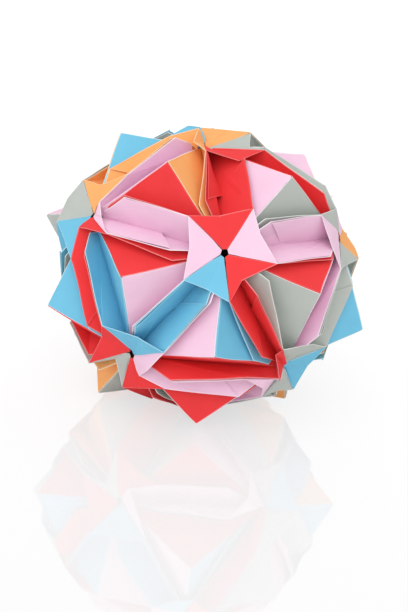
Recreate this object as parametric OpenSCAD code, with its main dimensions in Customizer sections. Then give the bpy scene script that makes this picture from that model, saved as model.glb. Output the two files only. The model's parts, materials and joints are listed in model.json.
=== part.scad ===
// Kusudama ball: thirty square sheets, each folded into one unit that lies along one edge of an
// icosahedron. The units hold one another by flaps tucked beside the walls of their neighbours.

/* [Sheet] */
// Side of each square sheet
sheet_side = 90; // [75:1:120]
// Thickness of the folded paper
paper_thickness = 0.25; // [0.15:0.05:0.3]
// Air between two sheets that lie on each other
sheet_gap = 0.08; // [0.06:0.01:0.12]

/* [Folds] */
// Rise of the boat walls above the ball's surface, in degrees
wall_rise = 58; // [55:1:62]
// How far a tucked strip stands off the wall at its loose end
strip_stand_off = 2; // [1:0.1:3]
// Depth of the notch in the base of each lid
lid_notch = 1.4; // [0.4:0.1:2.5]
// Half the width of the hole where five lids meet
point_hole = 1.1; // [0.9:0.1:1.6]
// How far the walls and base panels stop short of each point, under the lids
fold_trim = 3; // [2.6:0.1:4]
// How far the loose end of each flap stops short of the point it reaches
flap_trim = 5; // [4:0.1:6.5]

/* [Paper colours] */
// Red sheets
red = "#e8404a"; // ["#e8404a":coral red, "#c8202c":deep red]
// Pink sheets
pink = "#f4c0e0"; // ["#f4c0e0":pale pink, "#ee8fc4":rose]
// Blue sheets
blue = "#5cc0e8"; // ["#5cc0e8":sky blue, "#3f7fd0":royal blue]
// Orange sheets
orange = "#fab878"; // ["#fab878":apricot, "#f58a2a":orange]
// Gray sheets
gray = "#b9bfbd"; // ["#b9bfbd":pale gray, "#888e8d":mid gray]

/* [Hidden] */
// Units round each five-fold point, and the turn from one to the next
round_a_point = 5;
point_turn = 360 / round_a_point;

// The sheet is folded into thirds, and a peak's ridge is one third long
ridge = sheet_side / 3;
edge = ridge * sqrt(2);
half_edge = edge / 2;
wall_height = edge / 4;

// Radii and slopes of the icosahedron that carries the units
golden = (1 + sqrt(5)) / 2;
middle_radius = edge * golden / 2;
point_radius = norm([half_edge, middle_radius]);
point_latitude = atan(1 / 2);
face_slope = (180 - acos(-sqrt(5) / 3)) / 2;
base_rise = atan(sqrt(2)) - face_slope;

// Steps between sheets that lie on each other, and their slanted lengths along a fold at 45 degrees
half_sheet = paper_thickness / 2;
layer = paper_thickness + sheet_gap;
fold_reach = layer * sqrt(2);
mouth_set_back = (half_sheet + sheet_gap) * sqrt(2);
flap_reach = (layer + half_sheet) * sqrt(2);

// How far the facets on both sides of a fold run into each other
fold_overlap_share = 0.6;
fold_overlap = fold_overlap_share * half_sheet;

// Height above the fold at which a tucked flap creases, where the wedge behind the wall is wide enough
wedge = wall_rise - base_rise;
crease_up = (layer + half_sheet) * (1 + cos(wedge)) / sin(wedge);

// One unit lies along X with its outer side up, and this is the point at its near end
near_point = [-half_edge, 0, 0];
point_axis = unit([-half_edge, 0, middle_radius]);

function unit(v) = v / norm(v);

// A spot on a sheet that rises to one side of the X axis: along it, up the sheet and off its upper face
function on_sheet(rise, side, along, up, off) =
    [along, side * (up * cos(rise) - off * sin(rise)), up * sin(rise) + off * cos(rise)];

function on_base(side, along, up, off = 0) = on_sheet(base_rise, side, along, up, off);

function on_wall(side, along, up, off = 0) = on_sheet(wall_rise, side, along, up, off);

// A spot carried round the near point to the next unit there
function next_round(spot) =
    let (arm = spot - near_point)
    let (along = point_axis * (point_axis * arm))
    near_point + along + (arm - along) * cos(point_turn) + cross(point_axis, arm) * sin(point_turn);

// Outward direction of an outline's edge, and the outline with each edge moved out by its own amount
function edge_side(outline, i) =
    let (step = outline[(i + 1) % len(outline)] - outline[i])
    unit([step.y, -step.x]);

function grown(outline, amounts) =
    [for (i = [0 : len(outline) - 1])
        let (last = (i + len(outline) - 1) % len(outline))
        let (a = edge_side(outline, last))
        let (b = edge_side(outline, i))
        let (a_reach = a * outline[i] + amounts[last])
        let (b_reach = b * outline[i] + amounts[i])
        [a_reach * b.y - b_reach * a.y, a.x * b_reach - b.x * a_reach] / cross(a, b)];

// One flat facet of a folded sheet, from spots on its middle surface
module facet(spots, amounts, thickness = paper_thickness) {
    across = unit(spots[1] - spots[0]);
    out = unit(cross(across, spots[2] - spots[0]));
    ahead = cross(out, across);
    outline = [for (spot = spots) [(spot - spots[0]) * across, (spot - spots[0]) * ahead]];
    place(across, ahead, out, spots[0])
        linear_extrude(thickness, center = true)
            polygon(grown(outline, amounts));
}

module place(x, y, z, spot) {
    multmatrix([
        [x.x, y.x, z.x, spot.x],
        [x.y, y.y, z.y, spot.y],
        [x.z, y.z, z.z, spot.z],
        [0, 0, 0, 1]])
        children();
}

// Base panel of a peak, folded over the ridge at the near end and tucked under one at the far end
module base_panel() {
    facet(
        [
            on_base(1, -half_edge + fold_trim, 0),
            on_base(1, half_edge - fold_trim, 0),
            on_base(1, half_edge - fold_trim, fold_trim - mouth_set_back),
            on_base(1, -(fold_reach + mouth_set_back) / 2, half_edge + (fold_reach - mouth_set_back) / 2),
            on_base(1, -half_edge + fold_trim, fold_trim + fold_reach)
        ],
        [fold_overlap, 0, 0, fold_overlap, 0]);
}

// Wall of the open boat, with slanted ends
module wall() {
    facet(
        [
            on_wall(-1, -half_edge + fold_trim, 0),
            on_wall(-1, half_edge - fold_trim, 0),
            on_wall(-1, half_edge - fold_trim, fold_trim),
            on_wall(-1, half_edge - wall_height, wall_height),
            on_wall(-1, wall_height - half_edge, wall_height),
            on_wall(-1, fold_trim - half_edge, fold_trim)
        ],
        [fold_overlap, 0, 0, 0, fold_overlap, 0]);
}

// Second layer on the inside of the wall, whose raw edge slants from its foot to its far corner
module wall_lining() {
    lining = half_sheet + paper_thickness;
    facet(
        [
            on_wall(-1, -half_edge + fold_trim, 0, lining / 2),
            on_wall(-1, 0, 0, lining / 2),
            on_wall(-1, wall_height, wall_height, lining / 2),
            on_wall(-1, wall_height - half_edge, wall_height, lining / 2),
            on_wall(-1, fold_trim - half_edge, fold_trim, lining / 2)
        ],
        [0, 0, 0, 0, 0],
        lining);
}

// Flap over the next unit's base panel, creased up into a strip behind the next unit's wall. The strip
// lies close to the wall at its top corner and bends away from it towards its loose corner.
strip_top = on_wall(-1, wall_height - half_edge, wall_height, -layer);
strip_loose = on_wall(-1, half_edge - wall_height, wall_height, -layer - strip_stand_off);
crease_start = on_base(-1, crease_up - half_edge, crease_up, layer);
crease_end = on_base(-1, half_edge - flap_trim, crease_up, layer);

strip_along = unit(strip_loose - strip_top);
strip_foot = crease_end - strip_loose;
strip_down = unit(strip_foot - strip_along * (strip_along * strip_foot));
strip_end = strip_loose + (strip_along + strip_down) * (wall_height - flap_trim);

module flap() {
    spots = [
        crease_start,
        crease_end,
        on_base(-1, half_edge - flap_trim, flap_trim + flap_reach, layer),
        on_base(-1, flap_reach / 2, half_edge + flap_reach / 2, layer)
    ];
    facet([for (spot = spots) next_round(spot)], [fold_overlap, 0, 0, fold_overlap]);
}

module strip() {
    close_half = [crease_start, crease_end, strip_top];
    loose_half = [crease_end, strip_end, strip_loose, strip_top];
    facet([for (spot = close_half) next_round(spot)], [fold_overlap, fold_overlap, fold_overlap]);
    facet([for (spot = loose_half) next_round(spot)], [0, 0, 0, fold_overlap]);
}

// Lid over the near end, from the wall's slanted end to the strip's
module lid() {
    wall_corner = on_wall(-1, wall_height - half_edge, wall_height);
    strip_corner = next_round(strip_top);
    base_middle = (wall_corner + strip_corner) / 2;
    strip_edge = next_round(wall_corner) - near_point;
    tip = point_hole / cos(point_turn / 2);
    facet(
        [
            near_point + unit(wall_corner - near_point) * tip,
            wall_corner,
            base_middle - unit(base_middle - near_point) * lid_notch,
            strip_corner,
            strip_corner - strip_edge + unit(strip_edge) * tip
        ],
        [0, 0, 0, 0, 0]);
}

// One folded sheet: two equal halves, each with its panel, wall, flap, strip and lid
module folded_sheet() {
    for (turn = [0, 180])
        rotate([0, 0, turn]) {
            base_panel();
            wall();
            wall_lining();
            flap();
            strip();
            lid();
        }
}

// The ball stands on the ten rim corners round its lowest point
rim_corner = on_wall(-1, wall_height - half_edge, wall_height, half_sheet + paper_thickness);
ball_centre = point_radius + point_axis * (rim_corner - near_point);

module sheet_between(start, end, paper) {
    out = unit(start + end);
    across = unit(end - start);
    color(paper)
        translate([0, 0, ball_centre])
            place(across, cross(out, across), out, (start + end) / 2)
                folded_sheet();
}

// The twelve points: top, five above the middle, five below it and bottom
top_point = [0, 0, point_radius];
bottom_point = [0, 0, -point_radius];

function ring_point(azimuth, latitude) =
    point_radius * [sin(azimuth) * cos(latitude), -cos(azimuth) * cos(latitude), sin(latitude)];

function upper_point(k) = ring_point(k * point_turn, point_latitude);

function lower_point(k) = ring_point((k + 1 / 2) * point_turn, -point_latitude);

// Sheets of each ring, from the front towards the right
crown_papers = [red, gray, orange, blue, orange];
upper_ring_papers = [pink, pink, red, gray, pink];
right_slope_papers = [red, orange, gray, pink, red];
left_slope_papers = [blue, gray, blue, orange, blue];
lower_ring_papers = [blue, pink, red, gray, pink];
foot_papers = [gray, orange, blue, orange, red];

module crown_unit(k) {
    sheet_between(top_point, upper_point(k), crown_papers[k]);
}

module upper_ring_unit(k) {
    sheet_between(upper_point(k), upper_point(k + 1), upper_ring_papers[k]);
}

module right_slope_unit(k) {
    sheet_between(upper_point(k), lower_point(k), right_slope_papers[k]);
}

module left_slope_unit(k) {
    sheet_between(upper_point(k), lower_point(k - 1), left_slope_papers[k]);
}

module lower_ring_unit(k) {
    sheet_between(lower_point(k), lower_point(k + 1), lower_ring_papers[k]);
}

module foot_unit(k) {
    sheet_between(lower_point(k), bottom_point, foot_papers[k]);
}

RINGS = ["crown", "upper_ring", "right_slope", "left_slope", "lower_ring", "foot"];

for (k = [0 : round_a_point - 1]) {
    crown_unit(k);
    upper_ring_unit(k);
    right_slope_unit(k);
    left_slope_unit(k);
    lower_ring_unit(k);
    foot_unit(k);
}
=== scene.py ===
"""Kusudama ball of thirty folded paper sheets, standing on a white glossy table."""

import json
import math
import random

import bmesh
import bpy
import numpy as np
from mathutils import Matrix, Vector
from mathutils.geometry import delaunay_2d_cdt


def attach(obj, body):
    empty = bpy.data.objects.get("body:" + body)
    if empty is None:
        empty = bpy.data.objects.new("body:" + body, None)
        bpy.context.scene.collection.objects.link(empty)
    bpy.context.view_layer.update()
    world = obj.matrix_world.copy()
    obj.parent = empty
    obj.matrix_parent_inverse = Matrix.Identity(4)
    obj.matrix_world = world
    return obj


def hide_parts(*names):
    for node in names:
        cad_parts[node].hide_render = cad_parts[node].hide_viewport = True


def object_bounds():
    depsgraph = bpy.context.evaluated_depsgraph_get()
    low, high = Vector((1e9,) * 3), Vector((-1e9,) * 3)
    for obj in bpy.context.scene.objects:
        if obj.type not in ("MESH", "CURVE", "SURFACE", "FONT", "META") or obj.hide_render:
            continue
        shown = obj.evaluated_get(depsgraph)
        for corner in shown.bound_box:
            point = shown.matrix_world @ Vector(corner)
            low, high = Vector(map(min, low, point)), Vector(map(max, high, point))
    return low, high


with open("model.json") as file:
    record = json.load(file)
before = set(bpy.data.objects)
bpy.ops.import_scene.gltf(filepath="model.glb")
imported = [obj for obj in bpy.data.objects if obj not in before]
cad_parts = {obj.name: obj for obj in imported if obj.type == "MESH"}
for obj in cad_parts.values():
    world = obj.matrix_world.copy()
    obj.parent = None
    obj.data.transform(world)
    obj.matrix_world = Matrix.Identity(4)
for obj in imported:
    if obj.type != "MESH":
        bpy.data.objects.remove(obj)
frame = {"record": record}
CAD_LOW, CAD_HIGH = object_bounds()

# Sizes in metres, as the sheets are cut and folded
MM = 0.001
SHEET_SIDE = 90 * MM
RIDGE = SHEET_SIDE / 3
EDGE = RIDGE * math.sqrt(2)
HALF_EDGE = EDGE / 2
WALL_HEIGHT = EDGE / 4
LAYER = 0.33 * MM          # from the middle of one sheet to the middle of the next
PAPER = 0.17 * MM          # thickness that shows at a cut edge
PRESSED = 0.2 * MM         # the same step where a flap's cut edge lies flat on the sheet below
POINT_HOLE = 1.0 * MM      # radius of the hole where five lids meet
FOLD_TRIM = 3.0 * MM       # how far the folds along a sheet stop short of its points
FLAP_TRIM = 5.0 * MM       # how far a flap and its strip stop short of the next point
MOUTH_TRIM = 0.9 * MM      # how far a wall's slanted end stays back under the lid
LID_NOTCH = 1.4 * MM       # how far the middle of a lid's rim lies back from its corners
PALE_BAND = 0.36 * MM      # width of the pale line along cut edges and folds
BASE_SAG = 0.5 * MM        # how far a base panel gives under the flap on it
LINING_OFF = PAPER * 1.1   # from the middle of a wall to the middle of its lining
LINING_INSET = PALE_BAND / 3
MESH_STEP = 2.4 * MM
JOIN_DISTANCE = 0.02 * MM  # mesh points of two facets that lie closer than this are one
TINY, CLOSEST = 1e-9, 1e-7  # stand in for zero where a sum divides by it

WALL_RISE = math.radians(58)
SHARP_FOLD = math.radians(28)
FACE_SLOPE = (math.pi - math.acos(-math.sqrt(5) / 3)) / 2
BASE_RISE = math.atan(math.sqrt(2)) - FACE_SLOPE
ROUND_A_POINT = 5
POINT_TURN = 2 * math.pi / ROUND_A_POINT

GOLDEN = (1 + math.sqrt(5)) / 2
MIDDLE_RADIUS = EDGE * GOLDEN / 2
POINT_RADIUS = math.hypot(HALF_EDGE, MIDDLE_RADIUS)
POINT_LATITUDE = math.atan(1 / 2)
BALL_CENTRE = np.array([0, 0, (CAD_LOW.z + CAD_HIGH.z) / 2])

WEDGE = WALL_RISE - BASE_RISE
CREASE_SHARE = 1.38        # of the way up the base panel at which a crease would just clear the wall
CREASE_UP = CREASE_SHARE * LAYER * (1 + math.cos(WEDGE)) / math.sin(WEDGE)
FOLD_REACH = LAYER * math.sqrt(2)

scene = bpy.context.scene


def unit(v):
    return v / np.linalg.norm(v)


# Points of the ball, where five sheets meet, and peaks, where three do
def ring_point(azimuth, latitude):
    return POINT_RADIUS * np.array([
        math.sin(azimuth) * math.cos(latitude),
        -math.cos(azimuth) * math.cos(latitude),
        math.sin(latitude),
    ])


def upper_point(k):
    return ring_point(k * POINT_TURN, POINT_LATITUDE)


def lower_point(k):
    return ring_point((k + 1 / 2) * POINT_TURN, -POINT_LATITUDE)


TOP_POINT = np.array([0, 0, POINT_RADIUS])
BOTTOM_POINT = -TOP_POINT


def peak(*points):
    """Top of the pyramid over the face between three points, whose ridges are a third of a sheet."""
    middle = np.mean(points, axis=0)
    half = np.linalg.norm(points[0] - middle)
    return middle + unit(middle) * math.sqrt(RIDGE ** 2 - half ** 2)


RINGS = {
    "crown": lambda k: (TOP_POINT, upper_point(k)),
    "upper_ring": lambda k: (upper_point(k), upper_point(k + 1)),
    "right_slope": lambda k: (upper_point(k), lower_point(k)),
    "left_slope": lambda k: (upper_point(k), lower_point(k - 1)),
    "lower_ring": lambda k: (lower_point(k), lower_point(k + 1)),
    "foot": lambda k: (lower_point(k), BOTTOM_POINT),
}

# One sheet lies along X, with its near point at -X and the outside of the ball towards +Z
NEAR_POINT = np.array([-HALF_EDGE, 0, 0])
POINT_AXIS = unit(np.array([-HALF_EDGE, 0, MIDDLE_RADIUS]))


def sheet_axes(start, end):
    """Directions of a sheet's own X, Y and Z between two points of the ball."""
    along, out = unit(end - start), unit(start + end)
    return np.array([along, np.cross(out, along), out])


def on_sheet(rise, side, along, up, off):
    """A spot on a panel that rises to one side of the X axis: along it, up the panel and off its face."""
    return np.array([
        along,
        side * (up * math.cos(rise) - off * math.sin(rise)),
        up * math.sin(rise) + off * math.cos(rise),
    ])


def on_base(side, along, up, off=0.0):
    return on_sheet(BASE_RISE, side, along, up, off)


def on_wall(side, along, up, off=0.0):
    return on_sheet(WALL_RISE, side, along, up, off)


def next_round(spot):
    """A spot carried round the near point to the next sheet there."""
    arm = spot - NEAR_POINT
    along = POINT_AXIS * (POINT_AXIS @ arm)
    turned = (arm - along) * math.cos(POINT_TURN) + np.cross(POINT_AXIS, arm) * math.sin(POINT_TURN)
    return NEAR_POINT + along + turned


def half_turn(spot):
    return spot * np.array([-1, -1, 1])


def lid_corner(start, end, share=1.0):
    """Corner that a sheet's lid at start shares with the lid before it, or a share of the way there."""
    arm = on_wall(-1, -WALL_HEIGHT, WALL_HEIGHT) - NEAR_POINT
    return (start + end) / 2 + (NEAR_POINT + arm * share) @ sheet_axes(start, end)


# Camera, as the photograph was framed: 408 by 612 pixels
FRAME_PX = (408, 612)
LENS_PX = 1033
BALL_PX = (207.0, 266.9)
CAMERA_AZIMUTH = math.radians(-6.4)
CAMERA_ELEVATION = math.radians(20.2)
CAMERA_ROLL = math.radians(6.1)
CAMERA_DISTANCE = 8 * POINT_RADIUS
CLIP_START = 10 * MM
SENSOR_WIDTH = 36          # in millimetres, as the camera's settings are

camera_data = bpy.data.cameras.new("camera")
camera_data.sensor_width = SENSOR_WIDTH
camera_data.lens = camera_data.sensor_width * LENS_PX / FRAME_PX[1]
camera_data.shift_x = (FRAME_PX[0] / 2 - BALL_PX[0]) / FRAME_PX[1]
camera_data.shift_y = (BALL_PX[1] - FRAME_PX[1] / 2) / FRAME_PX[1]
camera_data.clip_start = CLIP_START
camera = bpy.data.objects.new("camera", camera_data)
scene.collection.objects.link(camera)
back = Vector((
    math.sin(CAMERA_AZIMUTH) * math.cos(CAMERA_ELEVATION),
    -math.cos(CAMERA_AZIMUTH) * math.cos(CAMERA_ELEVATION),
    math.sin(CAMERA_ELEVATION),
))
aim = (-back).to_track_quat("-Z", "Y").to_matrix() @ Matrix.Rotation(CAMERA_ROLL, 3, "Z")
eye = Vector(BALL_CENTRE) + back * CAMERA_DISTANCE
camera.matrix_world = Matrix.Translation(eye) @ aim.to_4x4()
scene.camera = camera

# The ball's points, named by where they lie in the photograph
FRONT, LEFT, RIGHT = upper_point(0), upper_point(4), upper_point(1)
BACK_LEFT, BACK_RIGHT = upper_point(3), upper_point(2)
LOW_LEFT, LOW_RIGHT = lower_point(4), lower_point(0)
FAR_LEFT, FAR_RIGHT = lower_point(3), lower_point(1)

# Walls that lean into their boat, or out of it: the boat's two points, a point on the wall's side, the lean
LEANING = [
    (LOW_LEFT, LOW_RIGHT, FRONT, math.radians(20)),
    (LEFT, LOW_LEFT, FRONT, math.radians(16)),
    (LEFT, TOP_POINT, FRONT, math.radians(12)),
    (LEFT, TOP_POINT, BACK_LEFT, math.radians(-10)),
    (TOP_POINT, RIGHT, FRONT, math.radians(14)),
    (RIGHT, LOW_RIGHT, FRONT, math.radians(8)),
    (RIGHT, LOW_RIGHT, FAR_RIGHT, math.radians(-10)),
    (FRONT, LOW_RIGHT, RIGHT, math.radians(25)),
    (FRONT, TOP_POINT, RIGHT, math.radians(-14)),
    (FRONT, TOP_POINT, LEFT, math.radians(-6)),
    (FRONT, RIGHT, LOW_RIGHT, math.radians(-8)),
    (LEFT, FAR_LEFT, BACK_LEFT, math.radians(-14)),
    (LOW_LEFT, FAR_LEFT, LEFT, math.radians(18)),
    (LOW_LEFT, FAR_LEFT, BOTTOM_POINT, math.radians(28)),
]
# Shares of the way from base to wall between which spots follow a lean more and more: inwards a strip
# beside the wall moves with it, and outwards it is pressed closer to the flap behind it
INWARDS_SHARES, OUTWARDS_SHARES = (1 / 6, 2 / 3), (0, 1)
# Shares of the wall's height between which spots above it follow less and less
ABOVE_SHARES = (1.2, 1.6)


def leant(spots):
    """Turns the spots on and beside each leaning wall about the fold at its foot."""
    for start, end, side, lean in LEANING:
        middle = (start + end) / 2
        axes = sheet_axes(start, end)
        axes[1] *= np.sign(axes[1] @ side)
        x, y, z = axes @ (spots - BALL_CENTRE - middle).T
        reach, rise = np.hypot(y, z), np.arctan2(z, y)
        shares = INWARDS_SHARES if lean > 0 else OUTWARDS_SHARES
        beside = np.interp(rise, [BASE_RISE + WEDGE * share for share in shares], [0, 1])
        # The wall across the boat, what lies past the boat's ends and what lies well above it stay
        across = np.interp(rise, [WALL_RISE, math.pi - WALL_RISE], [1, 0])
        inside = np.interp(np.abs(x) + reach, [HALF_EDGE, HALF_EDGE + WALL_HEIGHT], [1, 0])
        near = np.interp(reach, [WALL_HEIGHT * share for share in ABOVE_SHARES], [1, 0])
        turn = lean * np.minimum(beside, across) * inside * near
        moved_y = y * np.cos(turn) - z * np.sin(turn) - y
        moved_z = y * np.sin(turn) + z * np.cos(turn) - z
        spots = spots + np.outer(moved_y, axes[1]) + np.outer(moved_z, axes[2])
    return spots


# Points and peaks, and the pixels where the photograph shows them
SEEN_POINTS = [
    (FRONT, (224.7, 252.4)),
    (LEFT, (94.2, 215.9)),
    (RIGHT, (338.5, 237.0)),
    (TOP_POINT, (204.9, 147.1)),
    (LOW_LEFT, (132.7, 353.9)),
    (LOW_RIGHT, (282.5, 365.0)),
]
SEEN_PEAKS = [
    (peak(FRONT, LEFT, LOW_LEFT), (121.8, 277.0)),
    (peak(FRONT, LOW_LEFT, LOW_RIGHT), (215.5, 356.6)),
    (peak(FRONT, LOW_RIGHT, RIGHT), (320.3, 293.5)),
    (peak(FRONT, LEFT, TOP_POINT), (168.0, 161.6)),
    (peak(FRONT, TOP_POINT, RIGHT), (291.0, 177.0)),
    (peak(LOW_LEFT, LOW_RIGHT, BOTTOM_POINT), (196.3, 423.0)),
    (peak(LOW_RIGHT, RIGHT, FAR_RIGHT), (362.0, 329.0)),
    (peak(LEFT, LOW_LEFT, FAR_LEFT), (47.3, 305.4)),
    (peak(LOW_LEFT, FAR_LEFT, BOTTOM_POINT), (99.4, 391.9)),
    (peak(TOP_POINT, RIGHT, BACK_RIGHT), (304.3, 154.9)),
    (peak(TOP_POINT, LEFT, BACK_LEFT), (120.7, 133.7)),
    (peak(LEFT, FAR_LEFT, BACK_LEFT), (46.9, 214.4)),
    (peak(TOP_POINT, BACK_LEFT, BACK_RIGHT), (212.0, 128.0)),
]
# Corners that two lids share at a point: the point, the one that the later lid's sheet runs to, the pixel
SEEN_CORNERS = [
    (lid_corner(point, towards), pixel) for point, towards, pixel in (
        (FRONT, TOP_POINT, (252.3, 208.1)),
        (FRONT, LEFT, (187.7, 215.8)),
        (FRONT, LOW_LEFT, (183.8, 280.0)),
        (FRONT, LOW_RIGHT, (230.0, 300.4)),
        (FRONT, RIGHT, (278.1, 263.5)),
        (LEFT, TOP_POINT, (128.0, 174.0)),
        (LEFT, FRONT, (106.5, 232.1)),
        (LEFT, LOW_LEFT, (71.3, 258.1)),
        (LEFT, FAR_LEFT, (57.4, 222.2)),
        (LEFT, BACK_LEFT, (82.6, 180.2)),
        (TOP_POINT, LEFT, (170.0, 136.3)),
        (TOP_POINT, FRONT, (207.2, 150.5)),
        (TOP_POINT, RIGHT, (264.5, 150.0)),
        (TOP_POINT, BACK_RIGHT, (249.4, 131.2)),
        (RIGHT, FRONT, (321.5, 214.2)),
        (RIGHT, LOW_RIGHT, (340.6, 268.8)),
        (RIGHT, FAR_RIGHT, (357.5, 257.5)),
        (RIGHT, BACK_RIGHT, (342.0, 228.0)),
        (LOW_LEFT, FAR_LEFT, (89.1, 363.7)),
        (LOW_LEFT, LEFT, (101.0, 326.9)),
        (LOW_LEFT, FRONT, (164.4, 352.9)),
        (LOW_LEFT, LOW_RIGHT, (166.7, 388.7)),
        (LOW_LEFT, BOTTOM_POINT, (123.2, 386.5)),
        (LOW_RIGHT, LOW_LEFT, (246.0, 379.0)),
        (LOW_RIGHT, BOTTOM_POINT, (262.8, 396.8)),
        (LOW_RIGHT, FAR_RIGHT, (293.2, 388.7)),
        (LOW_RIGHT, RIGHT, (326.8, 346.4)),
        (LOW_RIGHT, FRONT, (282.9, 350.2)),
    )
]
# Some lids are folded short on one side, and the paper beyond stands up with the wall or strip there
SHORT_LID_SHARE = 0.4
SEEN_CORNERS += [
    (lid_corner(point, towards, SHORT_LID_SHARE), pixel) for point, towards, pixel in (
        (LEFT, TOP_POINT, (98.8, 200.5)),
        (LEFT, LOW_LEFT, (78.4, 226.5)),
        (TOP_POINT, LEFT, (199.8, 126.8)),
        (RIGHT, TOP_POINT, (336.9, 206.3)),
        (LOW_LEFT, LOW_RIGHT, (139.5, 376.7)),
        (LOW_RIGHT, LOW_LEFT, (280.2, 383.2)),
    )
]


def pulled(seen, reach, most, before):
    """Adds to a way of moving spots a smooth field that carries each seen spot to its pixel, or near it."""
    spots = before(np.array([spot for spot, _ in seen]) + BALL_CENTRE)
    view = np.array(aim)
    # The camera looks along its own -Z, so what it sees has a negative depth
    across, up, depth = ((spots - np.array(eye)) @ view).T
    drawn = np.stack([BALL_PX[0] - LENS_PX * across / depth, BALL_PX[1] + LENS_PX * up / depth], 1)
    off = (np.array([pixel for _, pixel in seen]) - drawn) * (-depth / LENS_PX)[:, None]
    strays = np.outer(off[:, 0], view[:, 0]) - np.outer(off[:, 1], view[:, 1])
    strays *= np.minimum(1, most / np.linalg.norm(strays, axis=1))[:, None]

    def nearness(points):
        return np.exp(-(np.linalg.norm(points[:, None] - spots[None], axis=2) / reach) ** 2)

    softness = 0.05
    weights = np.linalg.solve(nearness(spots) + softness * np.eye(len(spots)), strays)

    def after(points):
        points = before(points)
        return points + nearness(points) @ weights

    return after


# How far round it a seen spot carries the paper along, and how far it is carried at most
POINT_REACH, CORNER_REACH = 17 * MM, 8 * MM
MOST_CARRIED = 6 * MM
skewed = pulled(SEEN_POINTS + SEEN_PEAKS, POINT_REACH, MOST_CARRIED, before=leant)
crooked = pulled(SEEN_CORNERS + SEEN_POINTS, CORNER_REACH, MOST_CARRIED, before=skewed)

# Waves that push the paper along X, Y and Z, two each: how steeply each runs along X, Y and Z, and its start
WAVES = [
    [(0.0, 1.1, 0.6, 0.4), (-1.0, 0.0, 0.8, 2.0)],
    [(0.7, 0.0, 1.0, 1.1), (0.9, -0.8, 0.0, 0.3)],
    [(0.9, 0.8, 0.0, 2.2), (0.0, 0.7, -1.1, 1.7)],
]
# Length and height of the waves
LONG_RIPPLE, SHORT_RIPPLE = (60 * MM, 0.25 * MM), (19 * MM, 0.14 * MM)


def ripple(spots, length, height):
    """Slow waves through space, which bend all the sheets that pass a spot alike."""
    x, y, z = spots.T * 2 * math.pi / length
    return height / 2 * np.stack([
        sum(np.sin(in_x * x + in_y * y + in_z * z + start) for in_x, in_y, in_z, start in waves)
        for waves in WAVES
    ], 1)


def rippled(spots):
    return spots + ripple(spots, *LONG_RIPPLE) + ripple(spots, *SHORT_RIPPLE)


# How pale an edge is: cut edges take the paler colour, and rims and folds take it as a painted highlight
CUT, RIM, FOLD, FAINT, PLAIN = 1.0, 0.75, 0.3, 0.15, 0.0


class Patch:
    """One facet: corner spots, how pale the edge after each one is, how far the middle bows out,
    and which of the corners move with a lid."""

    def __init__(self, corners, pale, bow=0.0, with_lid=()):
        self.corners = [np.asarray(c, float) for c in corners]
        self.pale = pale
        self.bow = bow
        self.with_lid = list(with_lid)


def outer_band(ends):
    """Base panels with the flaps and strips that carry on from them, from the near strip to the far one."""
    patches = []
    for turn, end in ends:
        crease_start = on_base(-1, CREASE_UP - HALF_EDGE, CREASE_UP, LAYER)
        crease_end = on_base(-1, HALF_EDGE - FLAP_TRIM, CREASE_UP, LAYER)
        flap_peak = on_base(-1, 0, HALF_EDGE, PRESSED)
        flap_far = on_base(-1, HALF_EDGE - FLAP_TRIM, FLAP_TRIM, PRESSED)
        fold_stop = flap_peak + unit(crease_start - flap_peak) * LAYER
        strip_up = WALL_HEIGHT - end["strip_drop"]
        strip_top = on_wall(-1, -WALL_HEIGHT, strip_up, -LAYER - end["strip_lift"])
        strip_loose = on_wall(-1, WALL_HEIGHT, strip_up, -LAYER - end["stand_off"])
        along = unit(strip_loose - strip_top)
        foot = crease_end - strip_loose
        down = unit(foot - along * (along @ foot))
        strip_end = strip_loose + (along + down) * (WALL_HEIGHT - FLAP_TRIM)
        flap = [crease_start, crease_end, flap_far, flap_peak, fold_stop]
        close_half = [crease_start, crease_end, strip_top]
        close_pale = [FOLD, PLAIN, CUT]
        if end["strip_share"] < 1:
            short = WALL_HEIGHT * end["strip_share"]
            close_half.append(on_wall(-1, short - HALF_EDGE, short, -LAYER - end["strip_lift"]))
            close_pale.append(CUT)
        loose_half = [crease_end, strip_end, strip_loose, strip_top]
        base = [
            on_base(1, FOLD_TRIM - HALF_EDGE, 0),
            on_base(1, HALF_EDGE - FOLD_TRIM, 0),
            on_base(1, HALF_EDGE - FOLD_TRIM, FOLD_TRIM - FOLD_REACH),
            next_round(fold_stop),
            next_round(crease_start),
        ]
        patches += [
            Patch([turn(c) for c in base], [PLAIN, PLAIN, PLAIN, FOLD, PLAIN], -BASE_SAG),
            Patch([turn(next_round(c)) for c in flap], [FOLD, CUT, CUT, CUT, FOLD], end["flap_sag"]),
            Patch([turn(next_round(c)) for c in close_half], close_pale, 0, range(2, len(close_half))),
            Patch([turn(next_round(c)) for c in loose_half], [CUT, CUT, CUT, PLAIN], end["strip_bow"], [3]),
        ]
    return patches


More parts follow.
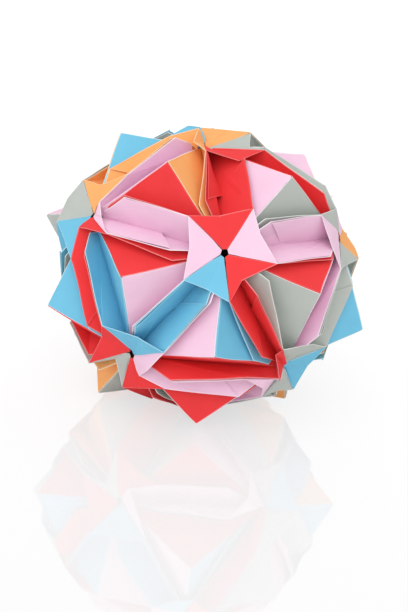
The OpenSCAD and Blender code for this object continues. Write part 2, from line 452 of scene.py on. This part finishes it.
def inner_band(ends):
    """The boat's two walls with the lid at each end."""
    patches = []
    for turn, end in ends:
        wall_corner = on_wall(-1, -WALL_HEIGHT, WALL_HEIGHT)
        wall_stop = on_wall(-1, FOLD_TRIM - HALF_EDGE, FOLD_TRIM)
        wall_edge = wall_corner - NEAR_POINT
        lid_corner_here = NEAR_POINT + wall_edge * end["wall_share"]
        strip_edge = next_round(wall_corner) - NEAR_POINT
        strip_start = next_round(on_wall(-1, -WALL_HEIGHT, WALL_HEIGHT, -LAYER)) - strip_edge
        strip_corner = strip_start + strip_edge * end["strip_share"]
        base_middle = (lid_corner_here + strip_corner) / 2
        across = unit(base_middle - NEAR_POINT)
        lid_out = unit(np.cross(wall_edge, strip_edge))
        notch = base_middle - across * end["notch"] - lid_out * end["lid_dip"]
        tip = POINT_HOLE / math.cos(POINT_TURN / 2)
        wall_tip = NEAR_POINT + unit(wall_edge) * tip
        strip_tip = strip_start + unit(strip_edge) * tip
        middle_tip = (wall_tip + strip_tip) / 2
        foot_start = on_wall(-1, FOLD_TRIM - HALF_EDGE, 0)
        foot_end = on_wall(-1, HALF_EDGE - FOLD_TRIM, 0)
        mouth_low = on_wall(-1, HALF_EDGE - FOLD_TRIM - MOUTH_TRIM, FOLD_TRIM)
        mouth_high = on_wall(-1, WALL_HEIGHT - MOUTH_TRIM, WALL_HEIGHT)
        # The wall is parted along the same slant as the strip behind it, so both bend alike
        low_half = [foot_start, foot_end, wall_corner, wall_stop]
        low_pale = [PLAIN, PLAIN, FOLD, PLAIN]
        if end["wall_share"] < 1:
            low_half.insert(3, lid_corner_here)
            low_pale.insert(2, RIM)
        high_half = [foot_end, mouth_low, mouth_high, wall_corner]
        wall_lid = [wall_tip, wall_stop, lid_corner_here, notch, middle_tip]
        strip_lid = [middle_tip, notch, strip_corner, strip_tip]
        wall_lid_pale = [FOLD, FOLD, RIM, PLAIN, PLAIN]
        strip_lid_pale = [PLAIN, RIM, FOLD, PLAIN]
        patches += [
            Patch([turn(c) for c in low_half], low_pale, 0, range(2, len(low_half))),
            Patch([turn(c) for c in high_half], [PLAIN, CUT, RIM, PLAIN], end["wall_bow"], [3]),
            Patch([turn(c) for c in wall_lid], wall_lid_pale, end["lid_bow"], range(len(wall_lid))),
            Patch([turn(c) for c in strip_lid], strip_lid_pale, end["lid_bow"], range(len(strip_lid))),
        ]
    return patches


def linings(ends):
    """Second layer inside each wall, whose cut edge slants from the middle of the fold to the rim."""
    patches = []
    for turn, end in ends:
        far_inset = MOUTH_TRIM + LINING_INSET
        rim = WALL_HEIGHT - LINING_INSET
        edge_off = LINING_OFF + end["lining_lift"]
        corners = [
            on_wall(-1, FOLD_TRIM - HALF_EDGE, LINING_INSET, LINING_OFF),
            on_wall(-1, 0, LINING_INSET, edge_off),
            on_wall(-1, WALL_HEIGHT - far_inset, rim, edge_off),
            on_wall(-1, far_inset - WALL_HEIGHT, rim, LINING_OFF),
            on_wall(-1, FOLD_TRIM - HALF_EDGE + far_inset, FOLD_TRIM, LINING_OFF),
        ]
        pale = [PLAIN, FOLD, FAINT, PLAIN, PLAIN]
        patches.append(Patch([turn(c) for c in corners], pale, -LAYER / 2, [3, 4]))
    return patches


def steps_along(length):
    """Shares of an edge at which it has mesh points: one close to each end, and even steps between."""
    if length < 4 * PALE_BAND:
        return [0.0]
    close = PALE_BAND / length
    count = max(1, round((length - 2 * PALE_BAND) / MESH_STEP))
    return [0.0, *np.linspace(close, 1 - close, count + 1)]


# The band round a facet takes up no more than this share of a short edge
BAND_SHARE = 0.6
# How quickly a rim point's say in the height of the inner points falls with distance
FALL_POWER = 3


def patch_mesh(patch):
    """Points, triangles and paleness of a facet: a narrow band round the edge, and an even mesh within."""
    corners = patch.corners
    origin = corners[0]
    out = unit(sum(np.cross(a, b) for a, b in zip(corners, corners[1:] + corners[:1])))
    across = corners[1] - origin
    across = unit(across - out * (across @ out))
    axes = np.array([across, np.cross(out, across)])
    flat = np.array([axes @ (c - origin) for c in corners])
    sides = np.roll(flat, -1, 0) - flat
    lengths = np.linalg.norm(sides, axis=1)
    normals = np.stack([-sides[:, 1], sides[:, 0]], 1) / lengths[:, None]
    before = np.roll(normals, 1, 0)
    mitres = (normals + before) / (1 + (normals * before).sum(1))[:, None]
    gains = ((np.roll(mitres, -1, 0) - mitres) * sides).sum(1) / lengths
    band = min(PALE_BAND, *(BAND_SHARE * length / max(-gain, TINY) for length, gain in zip(lengths, gains)))

    rim, rim_heights, inner, pale = [], [], [], []
    count = len(corners)
    for i in range(count):
        j = (i + 1) % count
        start, end = flat[i] + mitres[i] * band, flat[j] + mitres[j] * band
        for share in steps_along(np.linalg.norm(corners[j] - corners[i])):
            spot = corners[i] + (corners[j] - corners[i]) * share
            rim.append(axes @ (spot - origin))
            rim_heights.append((spot - origin) @ out)
            inner.append(start + (end - start) * share)
            pale.append(patch.pale[i] if share else max(patch.pale[i], patch.pale[i - 1]))
    rim, rim_heights, inner = np.array(rim), np.array(rim_heights), np.array(inner)

    def depths(points):
        return np.array([(points - c) @ n for c, n in zip(flat, normals)]).min(0)

    low, high = flat.min(0), flat.max(0)
    grid = np.array([
        (x + (MESH_STEP / 2 if row % 2 else 0), y)
        for row, y in enumerate(np.arange(low[1], high[1], MESH_STEP * math.sqrt(3) / 2))
        for x in np.arange(low[0] - MESH_STEP, high[0], MESH_STEP)
    ])
    within = grid[depths(grid) > band + MESH_STEP / 3]
    size = len(rim)
    loop = list(range(size))
    edges = [(i, (i + 1) % size) for i in loop]
    points, _, faces, sources, _, _ = delaunay_2d_cdt(
        [Vector(p) for p in [*inner, *within]], edges, [loop], 1, TINY, True)
    points = np.array([tuple(p) for p in points])
    place_of = {source: size + i for i, group in enumerate(sources) for source in group}
    deepest = max(depths(points).max(), PALE_BAND)
    bow = patch.bow * np.sin(math.pi / 2 * np.clip(depths(points) / deepest, 0, 1))
    # Corners may lie a little off the plane, so inner points take the heights of the rim around them
    away = np.maximum(np.linalg.norm(points[:, None] - rim[None], axis=2), CLOSEST)
    nearness = 1 / away ** FALL_POWER
    heights = nearness @ rim_heights / nearness.sum(1) + bow
    all_faces = [[size + i for i in f] for f in faces]
    for i, j in edges:
        all_faces += [(i, j, place_of[j]), (i, place_of[j], place_of[i])]
    spots = np.concatenate([rim, points])
    spots = origin + spots @ axes + np.outer(np.concatenate([rim_heights, heights]), out)
    return spots, all_faces, [*pale, *[0.0] * len(points)]


def add_patches(mesh, patches, place):
    """Adds facets to a bmesh, their corners moved and their edges straight, joined along shared folds."""
    pale_layer = mesh.verts.layers.float.get("pale") or mesh.verts.layers.float.new("pale")
    fresh = []
    for patch in patches:
        ideal = place(np.array(patch.corners))
        corners = skewed(ideal)
        corners[patch.with_lid] = crooked(ideal)[patch.with_lid]
        spots, faces, pale = patch_mesh(Patch(corners, patch.pale, patch.bow))
        verts = []
        for spot, value in zip(rippled(spots), pale):
            vert = mesh.verts.new(spot)
            vert[pale_layer] = value
            verts.append(vert)
        for face in faces:
            mesh.faces.new([verts[i] for i in face])
        fresh += verts
    bmesh.ops.remove_doubles(mesh, verts=fresh, dist=JOIN_DISTANCE)


# How neatly the ends of sheets are folded: the least and the most of what differs from end to end
END_RANGES = {
    "stand_off": (0.8 * MM, 2.2 * MM),
    "strip_drop": (0.0, 0.4 * MM),
    "strip_bow": (0.0, 0.3 * MM),
    "flap_sag": (0.0, 0.25 * MM),
    "wall_bow": (-0.04 * MM, 0.04 * MM),
    "lid_bow": (0.0, 0.18 * MM),
    "lid_dip": (0.0, 0.3 * MM),
    "notch": (LID_NOTCH * 0.5, LID_NOTCH * 1.2),
    "lining_lift": (0.15 * MM, 0.55 * MM),
}
UNLESS_SHOWN = {"strip_lift": 0.0, "wall_share": 1.0, "strip_share": 1.0}


def end_shape(rng):
    """How neatly one end of a sheet was folded."""
    return {name: rng.uniform(*limits) for name, limits in END_RANGES.items()} | UNLESS_SHOWN


# Ends of sheets that the photograph shows more tightly or more loosely folded, near end then far end
TIGHT = {"stand_off": 0.35 * MM, "strip_drop": -0.2 * MM, "strip_bow": 0.0}
SHORT_BY_WALL, SHORT_BY_STRIP = {"wall_share": SHORT_LID_SHARE}, {"strip_share": SHORT_LID_SHARE}
SHOWN_ENDS = {
    "crown_unit_1": (TIGHT | {"notch": -3.2 * MM, "lid_dip": 1.8 * MM}, {"stand_off": 0.8 * MM}),
    "crown_unit_2": ({}, SHORT_BY_WALL | {"stand_off": 1.2 * MM}),
    "crown_unit_3": ({"notch": -2.0 * MM}, {}),
    "crown_unit_5": (SHORT_BY_WALL | {"notch": -3.0 * MM, "lid_dip": 1.0 * MM, "stand_off": 2.4 * MM}, {}),
    "upper_ring_unit_1": ({"stand_off": 0.4 * MM}, TIGHT),
    "upper_ring_unit_2": (SHORT_BY_STRIP | {"notch": 3.0 * MM}, {}),
    "upper_ring_unit_4": ({}, {"notch": -2.5 * MM}),
    "upper_ring_unit_5": (TIGHT | SHORT_BY_STRIP, {"stand_off": 0.4 * MM, "lid_dip": 0.0}),
    "right_slope_unit_1": (
        {"stand_off": 1.7 * MM, "notch": 2.2 * MM},
        TIGHT | SHORT_BY_STRIP | {"strip_lift": 0.6 * MM, "notch": -3.2 * MM},
    ),
    "right_slope_unit_2": ({"notch": -3.0 * MM}, {}),
    "right_slope_unit_5": (
        SHORT_BY_WALL | {"stand_off": 2.5 * MM},
        {"strip_lift": 2.1 * MM, "stand_off": 2.0 * MM},
    ),
    "left_slope_unit_1": ({"stand_off": 2.7 * MM, "lid_dip": 0.9 * MM}, TIGHT),
    "left_slope_unit_2": ({}, {"stand_off": 2.5 * MM}),
    "lower_ring_unit_4": ({}, {"notch": 5.5 * MM}),
    "lower_ring_unit_5": (SHORT_BY_WALL | {"stand_off": 0.4 * MM}, {}),
}

# Paper colours: the sheet, and the paler colour along its cut edges, which also serves as a painted
# highlight along its folds and rims
PAPERS = {
    "red_paper": ((0.81, 0.044, 0.048), (0.93, 0.30, 0.30)),
    "pink_paper": ((0.85, 0.575, 0.725), (0.95, 0.92, 0.94)),
    "blue_paper": ((0.165, 0.51, 0.71), (0.60, 0.86, 0.93)),
    "orange_paper": ((0.92, 0.42, 0.145), (0.96, 0.80, 0.56)),
    "gray_paper": ((0.47, 0.50, 0.465), (0.85, 0.87, 0.85)),
}
PAPER_ROUGHNESS, PAPER_SPECULAR = 0.82, 0.25
# Noise in the paper: scale, detail and, for the fibres, distortion
CLOUDS, FLECKS, FIBRES = (160, 5), (900, 2), (2600, 4, 1.5)
DARK_CLOUD, LIGHT_CLOUD = 0.93, 1.07
FLECK_CONTRAST, FLECK_LEAST = 0.5, 0.68
FIBRE_STRENGTH, FIBRE_HEIGHT = 0.25, 0.03 * MM


def noise(tree, scale, detail, distortion=0.0):
    """Strength of a noise that is fixed to the paper."""
    place = tree.nodes.new("ShaderNodeTexCoord")
    texture = tree.nodes.new("ShaderNodeTexNoise")
    texture.inputs["Scale"].default_value = scale
    texture.inputs["Detail"].default_value = detail
    texture.inputs["Distortion"].default_value = distortion
    tree.links.new(place.outputs["Object"], texture.inputs["Vector"])
    return texture.outputs["Fac"]


def paper_material(name, sheet, edge):
    """Matte dyed paper: cloudy pulp, fine fibres in the bump, paler along cut edges, with a painted
    highlight along rims and folds.
    """
    material = bpy.data.materials.new(name)
    material.use_nodes = True
    tree = material.node_tree
    nodes, links = tree.nodes, tree.links
    shader = nodes["Principled BSDF"]
    shader.inputs["Roughness"].default_value = PAPER_ROUGHNESS
    shader.inputs["Specular IOR Level"].default_value = PAPER_SPECULAR

    tone = nodes.new("ShaderNodeMapRange")
    tone.inputs["To Min"].default_value = DARK_CLOUD
    tone.inputs["To Max"].default_value = LIGHT_CLOUD
    links.new(noise(tree, *CLOUDS), tone.inputs["Value"])
    tinted = nodes.new("ShaderNodeVectorMath")
    tinted.operation = "SCALE"
    tinted.inputs[0].default_value = sheet
    links.new(tone.outputs["Result"], tinted.inputs["Scale"])

    # Paler colour along cut edges, and a painted highlight along rims and folds, broken up by flecks
    edge_and_highlight_mask = nodes.new("ShaderNodeAttribute")
    edge_and_highlight_mask.attribute_name = "pale"
    ragged = nodes.new("ShaderNodeMath")
    ragged.operation = "MULTIPLY_ADD"
    ragged.inputs[1].default_value = FLECK_CONTRAST
    ragged.inputs[2].default_value = FLECK_LEAST
    links.new(noise(tree, *FLECKS), ragged.inputs[0])
    edge_and_highlight_amount = nodes.new("ShaderNodeMath")
    edge_and_highlight_amount.operation = "MULTIPLY"
    edge_and_highlight_amount.use_clamp = True
    links.new(edge_and_highlight_mask.outputs["Fac"], edge_and_highlight_amount.inputs[0])
    links.new(ragged.outputs["Value"], edge_and_highlight_amount.inputs[1])
    mix = nodes.new("ShaderNodeMix")
    mix.data_type = "RGBA"
    mix.inputs["B"].default_value = (*edge, 1)
    links.new(edge_and_highlight_amount.outputs["Value"], mix.inputs["Factor"])
    links.new(tinted.outputs["Vector"], mix.inputs["A"])
    links.new(mix.outputs["Result"], shader.inputs["Base Color"])

    bump = nodes.new("ShaderNodeBump")
    bump.inputs["Strength"].default_value = FIBRE_STRENGTH
    bump.inputs["Distance"].default_value = FIBRE_HEIGHT
    links.new(noise(tree, *FIBRES), bump.inputs["Height"])
    links.new(bump.outputs["Normal"], shader.inputs["Normal"])
    return material


def folded_sheet(node, start, end, material):
    """One folded sheet as a single mesh with thickness, in the place of its solid."""
    axes = sheet_axes(start, end)
    middle = (start + end) / 2 + BALL_CENTRE

    def place(spots):
        return spots @ axes + middle

    rng = random.Random(node)
    shown = SHOWN_ENDS.get(node, ({}, {}))
    ends = [(way, end_shape(rng) | given) for way, given in zip((np.asarray, half_turn), shown)]
    mesh = bmesh.new()
    for band in (outer_band(ends), inner_band(ends), linings(ends)):
        add_patches(mesh, band, place)
    bmesh.ops.recalc_face_normals(mesh, faces=mesh.faces)
    thin = bpy.data.meshes.new(f"{node}_thin")
    mesh.to_mesh(thin)
    mesh.free()
    piece = bpy.data.objects.new(f"{node}_paper", thin)
    scene.collection.objects.link(piece)
    solid = piece.modifiers.new("thickness", "SOLIDIFY")
    solid.thickness = PAPER
    solid.offset = 0
    thick = bpy.data.meshes.new_from_object(piece.evaluated_get(bpy.context.evaluated_depsgraph_get()))
    piece.modifiers.clear()
    piece.data = thick
    bpy.data.meshes.remove(thin)
    thick.name = piece.name
    thick.materials.clear()
    thick.materials.append(material)
    thick.shade_smooth()
    thick.set_sharp_from_angle(angle=SHARP_FOLD)
    return piece


slots = {row["node"]: row["material_slot"] for row in frame["record"]["subparts"]}
materials = {slot: paper_material(slot, *colours) for slot, colours in PAPERS.items()}
for ring, ends_of in RINGS.items():
    for k in range(ROUND_A_POINT):
        node = f"{ring}_unit_{k + 1}"
        piece = folded_sheet(node, *ends_of(k), materials[slots[node]])
        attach(piece, "root")
        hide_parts(node)


def seen_directly(tree):
    """1 for what the camera sees, also by reflection or through glass, and 0 for light on the object."""
    path = tree.nodes.new("ShaderNodeLightPath")
    total = path.outputs["Is Camera Ray"]
    for name in ("Is Glossy Ray", "Is Transmission Ray"):
        either = tree.nodes.new("ShaderNodeMath")
        either.operation = "MAXIMUM"
        tree.links.new(total, either.inputs[0])
        tree.links.new(path.outputs[name], either.inputs[1])
        total = either.outputs["Value"]
    return total


# White glossy table, which glows to the camera so that it stays white round the shadow
FLOOR_SIZE = 6.0
FLOOR_GLOW = 0.64
FLOOR_ROUGHNESS, FLOOR_IOR = 0.03, 1.75
FLOOR_WHITE, FLOOR_SEEN = (0.93, 0.93, 0.93, 1), (0.25, 0.25, 0.25, 1)
WHITE = (1, 1, 1, 1)
floor_mesh = bpy.data.meshes.new("table")
corner = FLOOR_SIZE / 2
corners = [(-corner, -corner, 0), (corner, -corner, 0), (corner, corner, 0), (-corner, corner, 0)]
floor_mesh.from_pydata(corners, [], [(0, 1, 2, 3)])
floor = bpy.data.objects.new("table", floor_mesh)
floor.location.z = CAD_LOW.z
scene.collection.objects.link(floor)
table = bpy.data.materials.new("white_table")
table.use_nodes = True
tree = table.node_tree
table_shader = tree.nodes["Principled BSDF"]
table_shader.inputs["Roughness"].default_value = FLOOR_ROUGHNESS
table_shader.inputs["IOR"].default_value = FLOOR_IOR
table_shader.inputs["Emission Color"].default_value = WHITE
seen = seen_directly(tree)
glow = tree.nodes.new("ShaderNodeMath")
glow.operation = "MULTIPLY"
glow.inputs[1].default_value = FLOOR_GLOW
tree.links.new(seen, glow.inputs[0])
tree.links.new(glow.outputs["Value"], table_shader.inputs["Emission Strength"])
shade = tree.nodes.new("ShaderNodeMix")
shade.data_type = "RGBA"
shade.inputs["A"].default_value = FLOOR_WHITE
shade.inputs["B"].default_value = FLOOR_SEEN
tree.links.new(seen, shade.inputs["Factor"])
tree.links.new(shade.outputs["Result"], table_shader.inputs["Base Color"])
floor_mesh.materials.append(table)

# Soft studio light: a bright white room, and a broad light from above, in front and a little to the left
ROOM_LIGHT = 0.82
BROAD_LIGHT = 1.3
BROAD_SPREAD = math.radians(70)
BROAD_DIRECTION = (0.3, 0.8, -0.8)
world = bpy.data.worlds.new("studio")
world.use_nodes = True
tree = world.node_tree
room = tree.nodes["Background"]
room.inputs["Color"].default_value = WHITE
strength = tree.nodes.new("ShaderNodeMath")
strength.operation = "MULTIPLY_ADD"
strength.inputs[1].default_value = 1 - ROOM_LIGHT
strength.inputs[2].default_value = ROOM_LIGHT
tree.links.new(seen_directly(tree), strength.inputs[0])
tree.links.new(strength.outputs["Value"], room.inputs["Strength"])
scene.world = world

key_data = bpy.data.lights.new("broad_light", "SUN")
key_data.energy = BROAD_LIGHT
key_data.angle = BROAD_SPREAD
key = bpy.data.objects.new("broad_light", key_data)
key.rotation_euler = Vector(BROAD_DIRECTION).to_track_quat("-Z", "Y").to_euler()
scene.collection.objects.link(key)

scene.view_settings.view_transform = "Standard"
